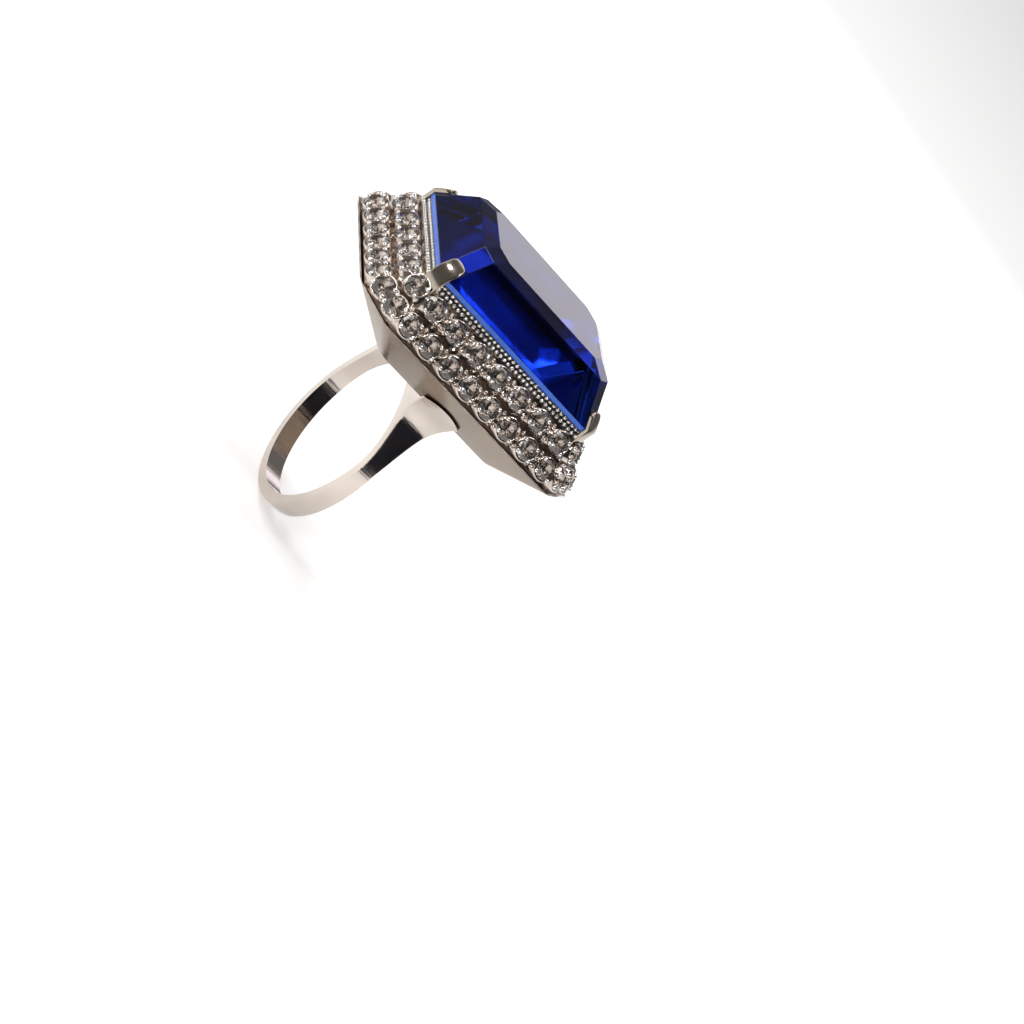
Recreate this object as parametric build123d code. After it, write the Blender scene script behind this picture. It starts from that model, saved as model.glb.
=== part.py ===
from build123d import *
from math import atan2, cos, hypot, radians, sin
import os

# Cocktail ring: a long octagonal centre stone on a stepped, stone-set head.
# Origin at the centre of the finger hole. Y runs along the finger, Z up through the stone.

# Finger hoop
hole_radius = 8.25
band_thickness = 1.0
band_outer_radius = hole_radius + band_thickness
half_width_at_back = 0.90
half_width_at_side = 0.78
half_width_at_shoulder = 2.25
shoulder_tangent_angle = 23.0
shoulder_waist = (7.00, 7.60)
shoulder_lip = (8.55, 10.45)
shoulder_flare = (0.72, 0.69)
shoulder_corner_height = 9.75
shoulder_dome_height = 10.35
edge_round = 0.20

# Octagons of the head: half across X, half along Y, corner cut, height
cup_bottom = (7.10, 7.80, 1.05, 9.25)
cup_rim = (10.30, 13.70, 3.15, 12.40)
girdle_low = (7.25, 10.10, 1.10, 17.35)
girdle_high = (7.25, 10.10, 1.10, 17.80)
crown_break = (5.35, 8.30, 1.14, 21.05)
table = (4.15, 6.85, 1.12, 21.60)
keel = (0.60, 3.40, 0.50, 12.60)

# Base cup
cup_wall = 0.60
cup_floor = 0.80

# Frames that carry the two rows of small stones
frame_sink = cup_wall
frame_depth = 1.50
frame_skirt = 11.40
row_split = 0.45
lip_sink = 0.30
outer_row = 0.25
inner_row = 0.65
outer_counts = (8, 2, 6)
inner_counts = (7, 1, 5)

# Small round stones and their cups
stone_radius = 0.95
stone_crown = 0.34
stone_table_radius = 0.54
stone_pavilion = 0.68
culet_radius = 0.10
cup_radius = 1.12
cup_height = 0.85
bead_radius = 0.20

# Seat under the centre stone
seat_inset = 0.50
seat_wall = 0.80
seat_top = 16.70

# Corner claws
claw_width = 1.65
claw_thickness = 0.45
claw_foot = 15.60
claw_reach = 1.60

SIDES = ("right_side", "right_hand_corner", "hand_end", "left_hand_corner",
         "left_side", "left_finger_corner", "finger_end", "right_finger_corner")


def corners(size, grow=0.0):
    """The eight corners of an octagon, anticlockwise from the right side."""
    x, y, cut, z = size
    x, y, cut = x + grow, y + grow, cut + 0.586 * grow
    return [Vector(*p, z) for p in (
        (x, -y + cut), (x, y - cut), (x - cut, y), (-x + cut, y),
        (-x, y - cut), (-x, -y + cut), (-x + cut, -y), (x - cut, -y))]


def octagon(size, grow=0.0):
    """A flat octagonal face at its own height."""
    return make_face(Polyline(*corners(size, grow), close=True))


def between(low, high, fraction):
    """The octagon part of the way up from one octagon to another."""
    return tuple(a + (b - a) * fraction for a, b in zip(low, high))


def frustum(low, high, grow=0.0):
    """Straight-sided solid between two octagons."""
    return loft([octagon(low, grow), octagon(high, grow)], ruled=True)


def stations(fraction, counts):
    """A plane for each small stone, side by side, with its Z pointing out of the slope."""
    ring = corners(between(cup_rim, girdle_low, fraction))
    foot = corners(cup_rim)
    head = corners(girdle_low)
    groups = []
    for side in range(8):
        start, end = ring[side], ring[(side + 1) % 8]
        along = end - start
        rise = head[side] + head[(side + 1) % 8] - foot[side] - foot[(side + 1) % 8]
        count = (counts[0], counts[1], counts[2], counts[1])[side % 4]
        groups.append([Plane(origin=start + along * ((i + 0.5) / count), x_dir=along,
                             z_dir=along.cross(rise)) for i in range(count)])
    return groups


def chaton():
    """One small faceted stone, its girdle in the XY plane."""
    girdle = RegularPolygon(stone_radius, 8)
    crown = loft([girdle, Pos(0, 0, stone_crown) * RegularPolygon(stone_table_radius, 8)],
                 ruled=True)
    pavilion = loft([Pos(0, 0, -stone_pavilion) * RegularPolygon(culet_radius, 8), girdle],
                    ruled=True)
    return crown + pavilion


def stone_frame(low_fraction, high_fraction, groups):
    """Sloped octagonal wall with a cup at every stone and beads between them."""
    low = between(cup_rim, girdle_low, low_fraction)
    high = between(cup_rim, girdle_low, high_fraction)
    body = frustum(low, high, -frame_sink) - frustum(low, high, -frame_depth)
    cup = Pos(0, 0, -cup_height / 2) * Cylinder(cup_radius, cup_height)
    bead = Pos(0, 0, -0.35) * Cylinder(bead_radius, 0.7) + Sphere(bead_radius)
    pocket = Pos(0, 0, -stone_pavilion / 2) * Cone(culet_radius, stone_radius, stone_pavilion)
    planes = [plane for group in groups for plane in group]
    additions = [plane * cup for plane in planes]
    for group in groups:
        for first, second in zip(group, group[1:]):
            middle = (second.origin - first.origin).length / 2
            additions += [first * Pos(middle, rise, 0) * bead for rise in (-0.75, 0.75)]
    body = (body + additions) - [plane * pocket for plane in planes]
    return split(body, bisect_by=Plane.XY.offset(low[3]), keep=Keep.TOP)


def seat_outline(z):
    """The straight outside of the stone seat, as an octagon at one height."""
    return (girdle_low[0] - seat_inset, girdle_low[1] - seat_inset, girdle_low[2] - 0.3, z)


def make_centre_stone():
    """Step-cut stone: table, two crown steps, a thin girdle and a deep pavilion."""
    layers = (keel, girdle_low, girdle_high, crown_break, table)
    stone = frustum(layers[0], layers[1])
    for low, high in zip(layers[1:], layers[2:]):
        stone += frustum(low, high)
    return stone


def make_cup():
    """Tapered octagonal cup with a flat floor."""
    height = cup_rim[3] - cup_bottom[3]
    floor = between(cup_bottom, cup_rim, cup_floor / height)
    return frustum(cup_bottom, cup_rim) - frustum(floor, cup_rim, -cup_wall)


def make_seat(centre_stone):
    """Octagonal wall standing on the cup floor, its top following the stone."""
    bottom = cup_bottom[3] + cup_floor
    low = seat_outline(bottom)
    high = seat_outline(seat_top)
    low = (cup_bottom[0] - 0.9, cup_bottom[1] - 0.9, low[2], low[3])
    middle = seat_outline(14.0)
    wall = frustum(low, middle) + frustum(middle, high)
    hollow = frustum(low, middle, -seat_wall) + frustum(middle, high, -seat_wall)
    return wall - hollow - centre_stone


def make_claw(side_x, side_y):
    """Flat tab folded over one cut corner of the centre stone."""
    half = girdle_high[2] / 2
    out = Vector(side_x, side_y, 0).normalized()
    origin = Vector(side_x * (girdle_high[0] - half), side_y * (girdle_high[1] - half), 0)
    break_half = crown_break[2] / 2
    run = Vector(side_x * (crown_break[0] - break_half), side_y * (crown_break[1] - break_half), 0)
    inward = (origin - run).dot(out)
    slope = atan2(crown_break[3] - girdle_high[3], inward)
    tip = (-claw_reach * cos(slope), girdle_high[3] + claw_reach * sin(slope))
    lift = (claw_thickness * sin(slope), claw_thickness * cos(slope))
    profile = Polyline(
        (0, claw_foot), (0, girdle_high[3]), tip, (tip[0] + lift[0], tip[1] + lift[1]),
        (claw_thickness, girdle_high[3] + 0.22), (claw_thickness, claw_foot), close=True)
    plane = Plane(origin=origin, x_dir=out, z_dir=out.cross(Vector(0, 0, 1)))
    blank = extrude(plane * make_face(profile), claw_width / 2, both=True)
    nose = tip[0] + claw_width / 2
    plan = Pos(nose, 0) * Circle(claw_width / 2 + 0.06)
    plan += Pos((nose + 1) / 2, 0) * Rectangle(1 - nose, claw_width + 0.11)
    return blank & extrude(Plane(origin=origin, x_dir=out) * plan, 40)


def make_shank():
    """Finger hoop whose shoulders flare out and lap onto the wall of the base cup."""
    angle = radians(shoulder_tangent_angle)
    rise = (-sin(angle), cos(angle))
    foot = (band_outer_radius * cos(angle), band_outer_radius * sin(angle))
    flank = Spline(foot, shoulder_waist, shoulder_lip, tangents=(rise, shoulder_flare))
    web = make_face([flank, Polyline(shoulder_lip, (0, shoulder_lip[1]), (0, 0), foot)])
    outline = Circle(band_outer_radius) + web + mirror(web, Plane.YZ) - Circle(hole_radius)
    body = extrude(Plane.XZ * outline, 6, both=True)
    corner = (half_width_at_shoulder, shoulder_corner_height)
    edge = Spline((half_width_at_back, -12), (half_width_at_back, -7), (half_width_at_side, 0),
                  (half_width_at_side, 2.8), (1.20, 5.5), (1.80, 8.0), corner)
    dome = ThreePointArc(corner, (0, shoulder_dome_height), (-corner[0], corner[1]))
    base = Line((half_width_at_back, -12), (-half_width_at_back, -12))
    side_view = make_face([edge, dome, mirror(edge, Plane.YZ), base])
    body &= extrude(Plane.YZ * side_view, 12, both=True)
    body -= frustum(cup_bottom, cup_rim)
    outside = [e for e in body.edges() if e.length > 2 and abs((e @ 0.5).Y) > 0.5
               and hypot((e @ 0.5).X, (e @ 0.5).Z) > band_outer_radius - 0.1
               and (e @ 0.5).Z < cup_bottom[3] - 0.1]
    return fillet(outside, edge_round)


os.makedirs("parts", exist_ok=True)

centre_stone = make_centre_stone()
claws = [make_claw(x, y) for x, y in ((1, -1), (1, 1), (-1, 1), (-1, -1))]
outer_stations = stations(outer_row, outer_counts)
inner_stations = stations(inner_row, inner_counts)
seat_block = extrude(octagon(seat_outline(0)), girdle_high[3])
skirt_low = between(cup_bottom, cup_rim, (frame_skirt - cup_bottom[3]) / (cup_rim[3] - cup_bottom[3]))
skirt = frustum(skirt_low, cup_rim, -cup_wall) - frustum(skirt_low, cup_rim, -frame_depth)
lip = frustum(between(cup_rim, girdle_low, 0.84), between(cup_rim, girdle_low, 0.99), -lip_sink)
outer_frame = stone_frame(0, row_split, outer_stations) + skirt
inner_frame = stone_frame(row_split, 0.93, inner_stations) + lip
inner_frame -= [seat_block, centre_stone] + claws

parts = {
    "shank": make_shank(),
    "base_cup": make_cup(),
    "outer_stone_frame": outer_frame - seat_block,
    "inner_stone_frame": inner_frame,
    "stone_seat": make_seat(centre_stone),
    "centre_stone": centre_stone,
}
for number, claw in enumerate(claws, 1):
    parts[f"claw_{number}"] = claw
for row, groups in (("outer", outer_stations), ("inner", inner_stations)):
    for side, group in zip(SIDES, groups):
        stones = [plane * chaton() for plane in group]
        parts[f"{row}_stones_{side}"] = Compound(children=stones)

for name, shape in parts.items():
    export_step(shape, f"parts/{name}.step")
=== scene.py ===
# %% [markdown]
# # A cocktail ring, piece by piece
#
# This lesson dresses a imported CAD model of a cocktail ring. A long octagonal blue stone sits on a
# stepped head, two rows of small clear stones run round it, and a plain hoop carries it all.
# The CAD model fixes every size. Blender adds facets, set grains, polish and light.

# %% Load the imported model
import math
import random

import bmesh
import bpy
from mathutils import Matrix, Quaternion, Vector


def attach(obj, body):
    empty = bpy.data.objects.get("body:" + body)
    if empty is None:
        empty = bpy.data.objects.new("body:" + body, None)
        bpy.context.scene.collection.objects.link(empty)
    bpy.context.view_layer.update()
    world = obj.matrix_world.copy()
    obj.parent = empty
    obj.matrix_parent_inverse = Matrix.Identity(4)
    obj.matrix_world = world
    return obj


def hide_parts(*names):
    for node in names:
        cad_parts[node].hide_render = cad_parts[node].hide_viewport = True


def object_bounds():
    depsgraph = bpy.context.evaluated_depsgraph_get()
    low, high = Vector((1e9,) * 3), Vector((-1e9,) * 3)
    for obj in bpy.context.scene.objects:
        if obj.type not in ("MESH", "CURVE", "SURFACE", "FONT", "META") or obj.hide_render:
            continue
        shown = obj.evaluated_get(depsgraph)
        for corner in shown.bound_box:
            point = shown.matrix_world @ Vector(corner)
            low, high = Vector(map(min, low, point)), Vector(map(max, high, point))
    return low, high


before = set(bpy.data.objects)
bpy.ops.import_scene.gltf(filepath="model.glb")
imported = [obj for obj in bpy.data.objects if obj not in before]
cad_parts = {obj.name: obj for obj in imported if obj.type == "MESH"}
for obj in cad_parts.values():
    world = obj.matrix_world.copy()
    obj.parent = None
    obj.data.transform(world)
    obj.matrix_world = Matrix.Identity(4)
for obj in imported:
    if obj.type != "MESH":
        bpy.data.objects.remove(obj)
cad_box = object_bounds()
MM = 0.001
print("CAD nodes:", len(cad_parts))

# %% [markdown]
# ## The octagons of the head
#
# The head is a stack of octagons: a rectangle with its corners cut off, at one height. Each is
# written as half width, half length, corner cut and height in millimetres, as in the CAD source.

# %% Driving sizes
cup_bottom = (7.10, 7.80, 1.05, 9.25)
cup_rim = (10.30, 13.70, 3.15, 12.40)
girdle_low = (7.25, 10.10, 1.10, 17.35)
girdle_high = (7.25, 10.10, 1.10, 17.80)
crown_break = (5.35, 8.30, 1.14, 21.05)
table_edge = (4.15, 6.85, 1.12, 21.60)
cup_wall = 0.60
cup_floor = 0.80
corner_shrink = 0.586
SIDES = ("right_side", "right_hand_corner", "hand_end", "left_hand_corner",
         "left_side", "left_finger_corner", "finger_end", "right_finger_corner")


def between(low, high, share):
    """The octagon part of the way from one octagon to another."""
    return tuple(a + (b - a) * share for a, b in zip(low, high))


def inset(size, by):
    """The same octagon moved inwards by a wall thickness."""
    return (size[0] - by, size[1] - by, size[2] - corner_shrink * by, size[3])


print("stone length and width:", 2 * girdle_low[1], 2 * girdle_low[0])

# %% [markdown]
# ## Stacking octagons
#
# One grid face, stretched to the right width and length, becomes an octagon when its four corner
# points are bevelled. Bridging one octagon's edge loop to the next makes flat facets, so a stack of
# octagons gives a step-cut stone or a tapered cup without a single hand-written face.


# %% Helpers for octagons
def octagon_loop(bm, size):
    """Edge loop of one octagon, given in millimetres and made in metres."""
    half_x, half_y, cut, height = (value * MM for value in size)
    known = set(bm.faces)
    points = bmesh.ops.create_grid(bm, x_segments=1, y_segments=1, size=1.0)["verts"]
    bmesh.ops.scale(bm, vec=(half_x, half_y, 1), verts=points)
    bmesh.ops.translate(bm, vec=(0, 0, height), verts=points)
    bmesh.ops.bevel(bm, geom=points, offset=cut, offset_type="OFFSET", segments=1,
                    affect="VERTICES", profile=0.5, material=-1)
    face = next(f for f in bm.faces if f not in known)
    loop = list(face.edges)
    bmesh.ops.delete(bm, geom=[face], context="FACES_ONLY")
    return loop


def stack(bm, sizes, cap_first=True, cap_last=True):
    """Bridges a list of octagons into one shell."""
    loops = [octagon_loop(bm, size) for size in sizes]
    for low, high in zip(loops, loops[1:]):
        bmesh.ops.bridge_loops(bm, edges=low + high)
    if cap_first:
        bmesh.ops.contextual_create(bm, geom=loops[0])
    if cap_last:
        bmesh.ops.contextual_create(bm, geom=loops[-1])


def finish_piece(bm, name, material, nodes=(), smooth_below=None):
    """Turns a bmesh into a piece that rides with the ring."""
    bmesh.ops.recalc_face_normals(bm, faces=bm.faces)
    mesh = bpy.data.meshes.new(name)
    bm.to_mesh(mesh)
    bm.free()
    mesh.materials.append(material)
    if smooth_below is not None:
        mesh.shade_smooth()
        mesh.set_sharp_from_angle(angle=math.radians(smooth_below))
    piece = bpy.data.objects.new(name, mesh)
    bpy.context.scene.collection.objects.link(piece)
    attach(piece, "root")
    if nodes:
        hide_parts(*nodes)
    print(name, len(mesh.polygons), "faces")
    return piece


# %% [markdown]
# ## Metal: polished plating
#
# The setting is plated metal, bright on the hoop and grains. The cup's plating is made a dark taupe
# as painted reflection and shade, standing in for a beige surround seen in shadow. The claws are
# darkened as painted shade, and the lip is made almost white as a painted highlight. A metal shows
# mostly its surroundings, so what tells it apart is the polish: broad soft unevenness from hand
# buffing, and fine scratches. The hoop is brushed along the finger, so a Mapping node stretches its
# scratches that way.

# %% Metal material
buffing_scale = 180.0
buffed_darker = 0.86


def plating(name, colour, roughness, scratch_scale, stretch=(1, 1, 1), scratch_depth=0.02):
    """A polished metal with buffing marks worked out from Object coordinates."""
    material = bpy.data.materials.new(name)
    material.use_nodes = True
    nodes, links = material.node_tree.nodes, material.node_tree.links
    shader = nodes["Principled BSDF"]
    shader.inputs["Metallic"].default_value = 1.0
    place = nodes.new("ShaderNodeTexCoord")
    turn = nodes.new("ShaderNodeMapping")
    turn.inputs["Scale"].default_value = stretch
    links.new(place.outputs["Object"], turn.inputs["Vector"])
    scratches = nodes.new("ShaderNodeTexNoise")
    scratches.inputs["Scale"].default_value = scratch_scale
    scratches.inputs["Detail"].default_value = 3.0
    links.new(turn.outputs["Vector"], scratches.inputs["Vector"])
    buffing = nodes.new("ShaderNodeTexNoise")
    buffing.inputs["Scale"].default_value = buffing_scale
    buffing.inputs["Detail"].default_value = 2.0
    links.new(place.outputs["Object"], buffing.inputs["Vector"])
    tint = nodes.new("ShaderNodeValToRGB")
    tint.color_ramp.elements[0].position = 0.35
    tint.color_ramp.elements[0].color = (*(c * buffed_darker for c in colour), 1)
    tint.color_ramp.elements[1].position = 0.65
    tint.color_ramp.elements[1].color = (*colour, 1)
    links.new(buffing.outputs["Fac"], tint.inputs["Fac"])
    links.new(tint.outputs["Color"], shader.inputs["Base Color"])
    polish = nodes.new("ShaderNodeMapRange")
    polish.inputs["To Min"].default_value = roughness * 0.7
    polish.inputs["To Max"].default_value = roughness * 1.4
    links.new(scratches.outputs["Fac"], polish.inputs["Value"])
    links.new(polish.outputs["Result"], shader.inputs["Roughness"])
    relief = nodes.new("ShaderNodeBump")
    relief.inputs["Strength"].default_value = scratch_depth
    relief.inputs["Distance"].default_value = 0.00005
    links.new(scratches.outputs["Fac"], relief.inputs["Height"])
    links.new(relief.outputs["Normal"], shader.inputs["Normal"])
    return material


hoop_metal = plating("hoop_plating", (0.64, 0.57, 0.51), 0.15, 2600, (1.0, 0.10, 1.0), 0.40)
# Painted reflection and shade: the cup's plating is darkened to taupe to stand in for a beige
# surround it mirrors in shadow.
cup_painted_shade_metal = plating("cup_painted_shade_plating", (0.29, 0.235, 0.19), 0.22, 900)
# Painted highlight: the lip's plating is made almost white for the light its rounded edge catches.
lip_painted_highlight_metal = plating("lip_painted_highlight_plating", (0.96, 0.88, 0.82), 0.36, 900)
frame_metal = plating("frame_plating", (0.62, 0.54, 0.48), 0.14, 3000, scratch_depth=0.15)
# Painted shade: the claws take a darker copy of the frame plating, standing in for the brown
# shading on them.
claw_painted_shade_metal = plating("claw_painted_shade_plating", (0.42, 0.37, 0.30), 0.14, 2000)
grain_metal = plating("grain_plating", (0.92, 0.90, 0.87), 0.08, 3000)
print("metals:", [m.name for m in bpy.data.materials if "plating" in m.name])

# %% [markdown]
# ## Blue glass and clear glass
#
# The large stone is deep blue glass. Light crosses a lot of it, so most facets look almost black
# and only the ones that send a light straight back flash royal blue. Its upright girdle is left
# ground, so it gets a duller, paler blue. The small stones are colourless with the faintest smoke
# in them, and a higher index gives them more sparkle.


# %% Glass materials
def cut_glass(name, colour, index, cloud, cloud_scale):
    """Clear cut glass with a faint variation in its depth of colour."""
    material = bpy.data.materials.new(name)
    material.use_nodes = True
    nodes, links = material.node_tree.nodes, material.node_tree.links
    shader = nodes["Principled BSDF"]
    shader.inputs["Transmission Weight"].default_value = 1.0
    shader.inputs["IOR"].default_value = index
    shader.inputs["Roughness"].default_value = 0.0
    place = nodes.new("ShaderNodeTexCoord")
    noise = nodes.new("ShaderNodeTexNoise")
    noise.inputs["Scale"].default_value = cloud_scale
    links.new(place.outputs["Object"], noise.inputs["Vector"])
    depth = nodes.new("ShaderNodeValToRGB")
    depth.color_ramp.elements[0].position = 0.3
    depth.color_ramp.elements[0].color = (*(c * (1 - cloud) for c in colour), 1)
    depth.color_ramp.elements[1].position = 0.7
    depth.color_ramp.elements[1].color = (*colour, 1)
    links.new(noise.outputs["Fac"], depth.inputs["Fac"])
    links.new(depth.outputs["Color"], shader.inputs["Base Color"])
    return material


blue_index, clear_index = 1.60, 1.72
blue_glass = cut_glass("deep_blue_glass", (0.006, 0.030, 0.34), blue_index, 0.15, 120)
clear_glass = cut_glass("clear_glass", (0.97, 0.95, 0.92), clear_index, 0.12, 500)
print("glass index, large stone and small stones:", blue_index, clear_index)

# %% Ground girdle
ground_edge = bpy.data.materials.new("ground_glass_edge")
ground_edge.use_nodes = True
nodes, links = ground_edge.node_tree.nodes, ground_edge.node_tree.links
grit = nodes.new("ShaderNodeTexNoise")
grit.inputs["Scale"].default_value = 2500.0
edge_tint = nodes.new("ShaderNodeValToRGB")
edge_tint.color_ramp.elements[0].color = (0.015, 0.085, 0.55, 1)
edge_tint.color_ramp.elements[1].color = (0.05, 0.22, 0.90, 1)
place = nodes.new("ShaderNodeTexCoord")
links.new(place.outputs["Object"], grit.inputs["Vector"])
links.new(grit.outputs["Fac"], edge_tint.inputs["Fac"])
links.new(edge_tint.outputs["Color"], nodes["Principled BSDF"].inputs["Base Color"])
nodes["Principled BSDF"].inputs["Roughness"].default_value = 0.35
print("girdle material:", ground_edge.name)

# %% [markdown]
# ## The centre stone
#
# The real stone is moulded glass cut in steps: a flat table, a narrow upper step, a tall lower step
# and a thin upright girdle, then a deep stepped pavilion that nobody sees but that throws the light
# back. The whole stone is one stack of octagons. A hair of bevel on every edge catches the light.

# %% Centre stone
edge_wear = 0.035
keel = (0.60, 3.40, 0.50, 12.60)
pavilion_steps = [keel, (3.00, 5.85, 0.70, 13.90), (5.40, 8.25, 0.90, 15.60), girdle_low]
bm = bmesh.new()
stack(bm, pavilion_steps + [girdle_high, crown_break, table_edge])
bmesh.ops.recalc_face_normals(bm, faces=bm.faces)
bmesh.ops.bevel(bm, geom=bm.edges[:], offset=edge_wear * MM, offset_type="OFFSET", segments=1,
                affect="EDGES", profile=0.5, material=-1)
for face in bm.faces:
    upright = abs(face.normal.z) < 0.05
    if upright and face.calc_center_median().z > girdle_low[3] * MM:
        face.material_index = 1
centre_stone = finish_piece(bm, "centre_stone_cut", blue_glass, ["centre_stone"])
centre_stone.data.materials.append(ground_edge)

# %% [markdown]
# ## The foil behind the stone
#
# Costume stones are foiled: a mirror film on the back of the pavilion returns the light. Here it is
# a thin shell just outside the pavilion, hidden from above by the girdle.

# %% Stone foil
foil_gap, foil_thickness = 0.03, 0.02
foil_rim = (7.00, 9.85, 1.05, 17.10)
foil_sizes = [inset(size, -foil_gap) for size in pavilion_steps[:-1]]
foil_sizes.append(inset(foil_rim, -foil_gap))
bm = bmesh.new()
stack(bm, foil_sizes, cap_last=False)
bmesh.ops.solidify(bm, geom=bm.faces[:], thickness=foil_thickness * MM)
foil_metal = plating("foil_film", (0.45, 0.55, 0.95), 0.16, 300, scratch_depth=0.0)
finish_piece(bm, "stone_foil", foil_metal)

# %% [markdown]
# ## The base cup
#
# The cup is pressed sheet: an octagon that opens upwards, with softly rounded corners. One stack of
# octagons runs up the outside, over a narrow lip that falls away inwards, and down to the floor
# inside. The corners between walls are bevelled round, then the lip. The lip's upward faces take a
# second, almost white material: a painted highlight where the rounded lip catches the light.

# %% Base cup
# The last of these numbers is how far down the lip the painted highlight reaches.
lip_width, lip_drop, lip_round, highlight_band_depth = 0.26, 0.35, 0.11, 0.16
corner_round = 0.55
floor_share = cup_floor / (cup_rim[3] - cup_bottom[3])
cup_inside = inset(between(cup_bottom, cup_rim, floor_share), cup_wall)
lip_crest = inset(cup_rim, lip_width)
lip_foot = inset((*cup_rim[:3], cup_rim[3] - lip_drop), cup_wall)
bm = bmesh.new()
stack(bm, [cup_bottom, cup_rim, lip_crest, lip_foot, cup_inside])
bmesh.ops.recalc_face_normals(bm, faces=bm.faces)
upright = [e for e in bm.edges if abs(e.verts[0].co.z - e.verts[1].co.z) > 0.5 * MM]
bmesh.ops.bevel(bm, geom=upright, offset=corner_round * MM, offset_type="OFFSET", segments=6,
                affect="EDGES", profile=0.5, material=-1, clamp_overlap=True)
lip = [e for e in bm.edges if e.calc_face_angle(0) > math.radians(25)]
bmesh.ops.bevel(bm, geom=lip, offset=lip_round * MM, offset_type="OFFSET", segments=4,
                affect="EDGES", profile=0.5, material=-1, clamp_overlap=True)
# Upward faces near the top of the lip take the painted highlight material.
highlight_band_level = (cup_rim[3] - highlight_band_depth) * MM
for face in bm.faces:
    if face.normal.z > 0.2 and face.calc_center_median().z > highlight_band_level:
        face.material_index = 1
base_cup = finish_piece(bm, "base_cup_pressed", cup_painted_shade_metal, ["base_cup"], 40)
base_cup.data.materials.append(lip_painted_highlight_metal)

# %% [markdown]
# ## Parts that keep their CAD shape
#
# The hoop, the stone frames and the seat are cast metal with the right shape already. A CAD mesh
# comes in as loose triangles, so a copy is welded before it is shaded smooth. The original is left
# alone and the copy stands for it.

# %% Welded copies
weld_distance = 0.0005


def welded(node, name, material, smooth_below=35):
    """A welded, smoothly shaded copy of a CAD node."""
    bm = bmesh.new()
    bm.from_mesh(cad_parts[node].data)
    bmesh.ops.remove_doubles(bm, verts=bm.verts, dist=weld_distance * MM)
    return finish_piece(bm, name, material, [node], smooth_below)


welded("shank", "hoop_and_shoulders", hoop_metal)
welded("outer_stone_frame", "outer_frame_cast", frame_metal)
welded("inner_stone_frame", "inner_frame_cast", frame_metal)
welded("stone_seat", "stone_seat_cast", frame_metal)

# %% [markdown]
# ## The claws
#
# Each claw is a strip of sheet folded over a cut corner of the stone. Three rectangles, at the
# foot, the bend and the tip, are bridged into a bent strip. Its free end is bevelled round, and
# then every edge is softened.


# %% Rectangle of a strip
def strip_section(bm, centre, across, through, width, thickness):
    """Edge loop of one rectangle of the strip."""
    known = set(bm.faces)
    turn = Matrix((across, through, across.cross(through))).transposed().to_4x4()
    points = bmesh.ops.create_grid(bm, x_segments=1, y_segments=1, size=0.5)["verts"]
    bmesh.ops.scale(bm, vec=(width * MM, thickness * MM, 1), verts=points)
    bmesh.ops.transform(bm, matrix=Matrix.Translation(centre) @ turn, verts=points)
    face = next(f for f in bm.faces if f not in known)
    loop = list(face.edges)
    bmesh.ops.delete(bm, geom=[face], context="FACES_ONLY")
    return loop


# %% Claws
claw_width, claw_thickness, claw_foot, claw_reach = 1.65, 0.45, 15.60, 1.60
knee_swell = 1.15
tip_round, claw_edge_round = 0.62, 0.13


def corner_middle(size, side_x, side_y):
    """The middle of one cut corner of an octagon."""
    half_x, half_y, cut, height = size
    return Vector((side_x * (half_x - cut / 2), side_y * (half_y - cut / 2), height)) * MM


def claw(side_x, side_y):
    """A bent strip over one corner of the stone."""
    out = Vector((side_x, side_y, 0)).normalized()
    across = out.cross(Vector((0, 0, 1)))
    low = corner_middle(girdle_high, side_x, side_y)
    high = corner_middle(crown_break, side_x, side_y)
    slope = (high - low).normalized()
    bend_out = out * (claw_thickness / 2 * MM)
    lean_out = across.cross(slope) * (claw_thickness / 2 * MM)
    lean_out *= 1 if lean_out.dot(out) > 0 else -1
    foot = low.copy()
    foot.z = claw_foot * MM
    knee = low + (bend_out + lean_out) / 2 * knee_swell
    tip = low + slope * (claw_reach * MM) + lean_out
    over = lean_out.normalized()
    bm = bmesh.new()
    loops = [strip_section(bm, centre, across, through, claw_width, claw_thickness)
             for centre, through in ((foot + bend_out, out), (knee, (out + over).normalized()),
                                     (tip, over))]
    for first, second in zip(loops, loops[1:]):
        bmesh.ops.bridge_loops(bm, edges=first + second)
    bmesh.ops.contextual_create(bm, geom=loops[0])
    bmesh.ops.contextual_create(bm, geom=loops[-1])
    bmesh.ops.recalc_face_normals(bm, faces=bm.faces)
    thick = [e for e in loops[-1] if e.is_valid and e.calc_length() < claw_width * 0.6 * MM]
    bmesh.ops.bevel(bm, geom=thick, offset=tip_round * MM, offset_type="OFFSET", segments=8,
                    affect="EDGES", profile=0.5, material=-1)
    outline = [e for e in bm.edges if e.calc_face_angle(0) > math.radians(50)]
    bmesh.ops.bevel(bm, geom=outline, offset=claw_edge_round * MM, offset_type="OFFSET", segments=4,
                    affect="EDGES", profile=0.5, material=-1)
    return bm


for number, (side_x, side_y) in enumerate(((1, -1), (1, 1), (-1, 1), (-1, -1)), 1):
    finish_piece(claw(side_x, side_y), f"claw_tab_{number}", claw_painted_shade_metal,
                 [f"claw_{number}"], 40)

# %% [markdown]
# ## Where the small stones sit
#
# Each row runs round the slope between the cup's lip and the stone's girdle. One matrix per stone
# says where it sits: X along the row, Y up the slope, Z out of it.

# %% Stations
outer_share, outer_counts = 0.25, (8, 2, 6)
inner_share, inner_counts = 0.65, (7, 1, 5)


def corners(size):
    """The eight corners of an octagon, anticlockwise from the right side."""
    x, y, cut, z = size
    return [Vector(p) * MM for p in (
        (x, -y + cut, z), (x, y - cut, z), (x - cut, y, z), (-x + cut, y, z),
        (-x, y - cut, z), (-x, -y + cut, z), (-x + cut, -y, z), (x - cut, -y, z))]


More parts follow.
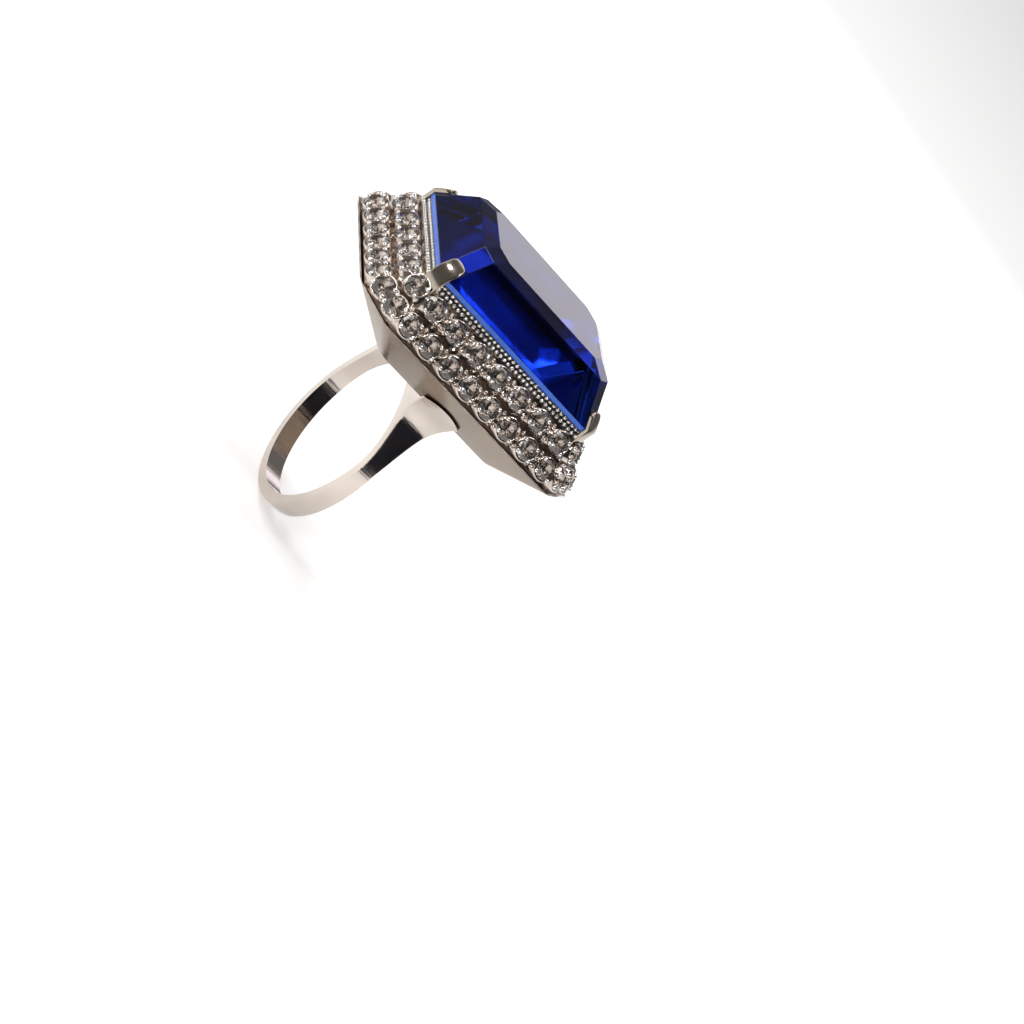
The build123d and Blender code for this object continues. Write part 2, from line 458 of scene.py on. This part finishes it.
def stations(share, counts):
    """One matrix for every small stone of a row."""
    ring = corners(between(cup_rim, girdle_low, share))
    foot, head = corners(cup_rim), corners(girdle_low)
    places = []
    for side in range(8):
        start, end = ring[side], ring[(side + 1) % 8]
        rise = head[side] + head[(side + 1) % 8] - foot[side] - foot[(side + 1) % 8]
        along = (end - start).normalized()
        out = along.cross(rise).normalized()
        turn = Matrix((along, out.cross(along), out)).transposed().to_4x4()
        count = (counts[0], counts[1], counts[2], counts[1])[side % 4]
        places += [Matrix.Translation(start.lerp(end, (i + 0.5) / count)) @ turn
                   for i in range(count)]
    return places


outer_places = stations(outer_share, outer_counts)
inner_places = stations(inner_share, inner_counts)
print("small stones:", len(outer_places), "+", len(inner_places))

# %% [markdown]
# ## The small stones
#
# A brilliant cut has a table, a ring of kite facets, a girdle, and a cone of pavilion facets. Six
# rings of points hold all of it: their convex hull is the stone, with flat facets in the right
# places. Each stone is then tilted and turned a little, as a setter leaves them, so no two flash
# alike.

# %% Small stones
stone_radius = 0.95
stone_lean = 7
# corner count, radius, height, turn in steps
stone_rings = ((8, 0.54, 0.36, 0.5), (8, 0.80, 0.21, 0.0), (16, stone_radius, 0.04, 0.0),
               (16, stone_radius, -0.02, 0.0), (8, 0.52, -0.34, 0.5), (8, 0.10, -0.68, 0.5))


def brilliant():
    """One small stone with its girdle in the XY plane."""
    bm = bmesh.new()
    for count, radius, height, half_steps in stone_rings:
        turn = Matrix.Rotation(half_steps * 2 * math.pi / count, 4, "Z")
        bmesh.ops.create_circle(bm, segments=count, radius=radius * MM,
                                matrix=Matrix.Translation((0, 0, height * MM)) @ turn)
    hull = bmesh.ops.convex_hull(bm, input=bm.verts)
    spare = [g for g in hull["geom_interior"] + hull["geom_unused"] if g.is_valid]
    bmesh.ops.delete(bm, geom=[g for g in spare if isinstance(g, bmesh.types.BMVert)],
                     context="VERTS")
    bmesh.ops.dissolve_limit(bm, angle_limit=0.02, verts=bm.verts, edges=bm.edges)
    mesh = bpy.data.meshes.new("brilliant")
    bm.to_mesh(mesh)
    bm.free()
    return mesh


def repeated(mesh, places):
    """A bmesh with one copy of a mesh at every place."""
    bm = bmesh.new()
    for place in places:
        known = len(bm.verts)
        bm.from_mesh(mesh)
        bm.verts.ensure_lookup_table()
        bmesh.ops.transform(bm, matrix=place, verts=bm.verts[known:])
    return bm


# %% Hand-set places
def hand_set(places, setter):
    """The same places, each tilted and turned a little as a setter leaves them."""
    tilted = []
    for place in places:
        lean = math.radians(setter.uniform(0, stone_lean))
        heading = setter.uniform(0, 2 * math.pi)
        lean_axis = (math.cos(heading), math.sin(heading), 0)
        tilted.append(place @ Matrix.Rotation(lean, 4, lean_axis)
                      @ Matrix.Rotation(setter.uniform(0, math.pi / 4), 4, "Z"))
    return tilted


setter = random.Random(7)
stone_shape = brilliant()
for row, places in (("outer", outer_places), ("inner", inner_places)):
    finish_piece(repeated(stone_shape, hand_set(places, setter)), f"{row}_row_stones",
                 clear_glass, [f"{row}_stones_{side}" for side in SIDES])

# %% [markdown]
# ## Grains
#
# A setter raises a bead of metal at each corner of a stone and presses it over the girdle. Each
# grain is a small ball, so a light gives it a bright round point.

# %% Grains
grain_radius, grain_reach, grain_lift = 0.21, 0.93, 0.10
grain_angles = [math.radians(a) for a in (40, 140, 220, 320)]


def ball(radius):
    """A small round bead of metal."""
    bm = bmesh.new()
    bmesh.ops.create_uvsphere(bm, u_segments=10, v_segments=6, radius=radius * MM)
    mesh = bpy.data.meshes.new("grain")
    bm.to_mesh(mesh)
    bm.free()
    return mesh


def grain_places(places):
    """Places of the grains round every stone of a row."""
    offsets = [Matrix.Translation((grain_reach * MM * math.cos(a),
                                   grain_reach * MM * math.sin(a), grain_lift * MM))
               for a in grain_angles]
    return [place @ offset for place in places for offset in offsets]


for row, places in (("outer", outer_places), ("inner", inner_places)):
    finish_piece(repeated(ball(grain_radius), grain_places(places)), f"{row}_row_grains",
                 grain_metal, smooth_below=180)

# %% [markdown]
# ## The beaded edge
#
# Between the upper row and the stone runs a beaded edge, rolled with a knurled wheel. Two staggered
# lines of tiny balls follow the frame's lip all round.

# %% Beaded edge
bead_radius, bead_pitch = 0.19, 0.50
lip_sink = 0.30
bead_shares = (0.875, 0.955)
beads = []
for line, share in enumerate(bead_shares):
    ring = corners(inset(between(cup_rim, girdle_low, share), lip_sink))
    for side in range(8):
        start, end = ring[side], ring[(side + 1) % 8]
        count = max(1, round((end - start).length / (bead_pitch * MM)))
        beads += [Matrix.Translation(start.lerp(end, (i + 0.5 * line) / count))
                  for i in range(count)]
finish_piece(repeated(ball(bead_radius), beads), "beaded_edge", grain_metal,
             smooth_below=180)

# %% [markdown]
# ## The floor
#
# The ring stands on the lowest point of its hoop on a plain white floor. A little emission keeps
# the floor evenly pale however far it runs.

# %% Floor
floor_gap, floor_radius = 0.02, 4.0
floor_height = cad_box[0].z - floor_gap * MM
bm = bmesh.new()
bmesh.ops.create_circle(bm, cap_ends=True, segments=96, radius=floor_radius)
bmesh.ops.translate(bm, vec=(0, 0, floor_height), verts=bm.verts)
floor_mesh = bpy.data.meshes.new("floor")
bm.to_mesh(floor_mesh)
bm.free()
floor = bpy.data.objects.new("floor", floor_mesh)
bpy.context.scene.collection.objects.link(floor)
floor_paint = bpy.data.materials.new("floor_paint")
floor_paint.use_nodes = True
floor_shader = floor_paint.node_tree.nodes["Principled BSDF"]
floor_shader.inputs["Base Color"].default_value = (0.90, 0.89, 0.88, 1)
floor_shader.inputs["Roughness"].default_value = 0.9
floor_shader.inputs["Emission Color"].default_value = (1, 1, 1, 1)
floor_shader.inputs["Emission Strength"].default_value = 0.45
floor_mesh.materials.append(floor_paint)
print("floor height in mm:", round(floor_height / MM, 2))

# %% [markdown]
# ## The camera
#
# The ring is shown from its side and a little above. The camera is rolled so that the stone's
# length runs slantwise down the view. A long lens keeps the near corner from looming.

# %% Camera
view_azimuth, view_elevation, view_roll = 60.12, 17.84, 56.15
view_distance = 254.8 * MM
view_aim = Vector((4.86, 13.12, 7.21)) * MM
lens_length, sensor_width = 105.5, 36.0


def direction(azimuth, elevation):
    """Unit vector from the ring towards a place round it, azimuth 0 being the finger end."""
    a, e = math.radians(azimuth), math.radians(elevation)
    return Vector((math.sin(a) * math.cos(e), -math.cos(a) * math.cos(e), math.sin(e)))


camera = bpy.data.objects.new("camera", bpy.data.cameras.new("camera"))
camera.data.sensor_width = sensor_width
camera.data.lens = lens_length
camera.data.clip_start = 0.01
camera.data.clip_end = 20.0
back = direction(view_azimuth, view_elevation)
camera.location = view_aim + back * view_distance
camera.rotation_mode = "QUATERNION"
roll = Quaternion((0, 0, 1), math.radians(view_roll))
camera.rotation_quaternion = back.to_track_quat("Z", "Y") @ roll
bpy.context.scene.collection.objects.link(camera)
bpy.context.scene.camera = camera
print("camera at", [round(c, 4) for c in camera.location])

# %% [markdown]
# ## The lights
#
# Polished metal and glass show their surroundings, so the light matters more than any material.
# Big soft panels give the broad reflections on table and walls. Small ones give the sparkle.

# %% Lights
light_aim = Vector((0, 0, 0.012))
sparkle_distance = 0.50


def panel(name, azimuth, elevation, distance, width, height, radiance, tint=(1, 1, 1)):
    """A soft rectangular light that faces the ring; radiance is its brightness as seen."""
    light = bpy.data.lights.new(name, "AREA")
    light.shape = "RECTANGLE"
    light.size, light.size_y = width, height
    light.energy = radiance * math.pi * width * height
    light.color = tint
    lamp = bpy.data.objects.new(name, light)
    facing = direction(azimuth, elevation)
    lamp.location = light_aim + facing * distance
    lamp.rotation_mode = "QUATERNION"
    lamp.rotation_quaternion = facing.to_track_quat("Z", "Y")
    bpy.context.scene.collection.objects.link(lamp)


panel("top_panel", 305, 62, 1.20, 0.90, 0.90, 2.2)
panel("back_panel", 242, 19, 0.45, 0.50, 0.16, 1.35, (0.95, 0.91, 1.0))
panel("left_panel", -25, 25, 0.60, 0.30, 0.40, 1.8)
panel("right_panel", 165, 30, 0.60, 0.10, 0.30, 2.5)
for number, (azimuth, elevation, size, radiance) in enumerate(
        ((60, 62, 0.05, 45.0), (15, 40, 0.035, 60.0), (95, 48, 0.03, 60.0),
         (215, 66, 0.05, 40.0), (150, 75, 0.05, 30.0), (75, -4, 0.03, 40.0))):
    panel(f"sparkle_{number}", azimuth, elevation, sparkle_distance, size, size, radiance)

# %% [markdown]
# ## The surround
#
# A grey surround with one dark side stands for the unlit part of a studio. The dark side lies where
# the stone's tall side facet and the hoop's shoulder send the eye, so both turn nearly black.

# %% Surround
dark_side = direction(118, 22)
world = bpy.data.worlds.new("surround")
world.use_nodes = True
nodes, links = world.node_tree.nodes, world.node_tree.links
look = nodes.new("ShaderNodeTexCoord")
toward = nodes.new("ShaderNodeVectorMath")
toward.operation = "DOT_PRODUCT"
toward.inputs[1].default_value = dark_side
links.new(look.outputs["Generated"], toward.inputs[0])
shade = nodes.new("ShaderNodeValToRGB")
shade.color_ramp.elements[0].position = 0.62
shade.color_ramp.elements[0].color = (0.17, 0.165, 0.165, 1)
shade.color_ramp.elements[1].position = 0.86
shade.color_ramp.elements[1].color = (0.015, 0.016, 0.022, 1)
links.new(toward.outputs["Value"], shade.inputs["Fac"])
links.new(shade.outputs["Color"], nodes["Background"].inputs["Color"])
bpy.context.scene.world = world
bpy.context.scene.view_settings.view_transform = "Standard"
print("surround:", world.name)
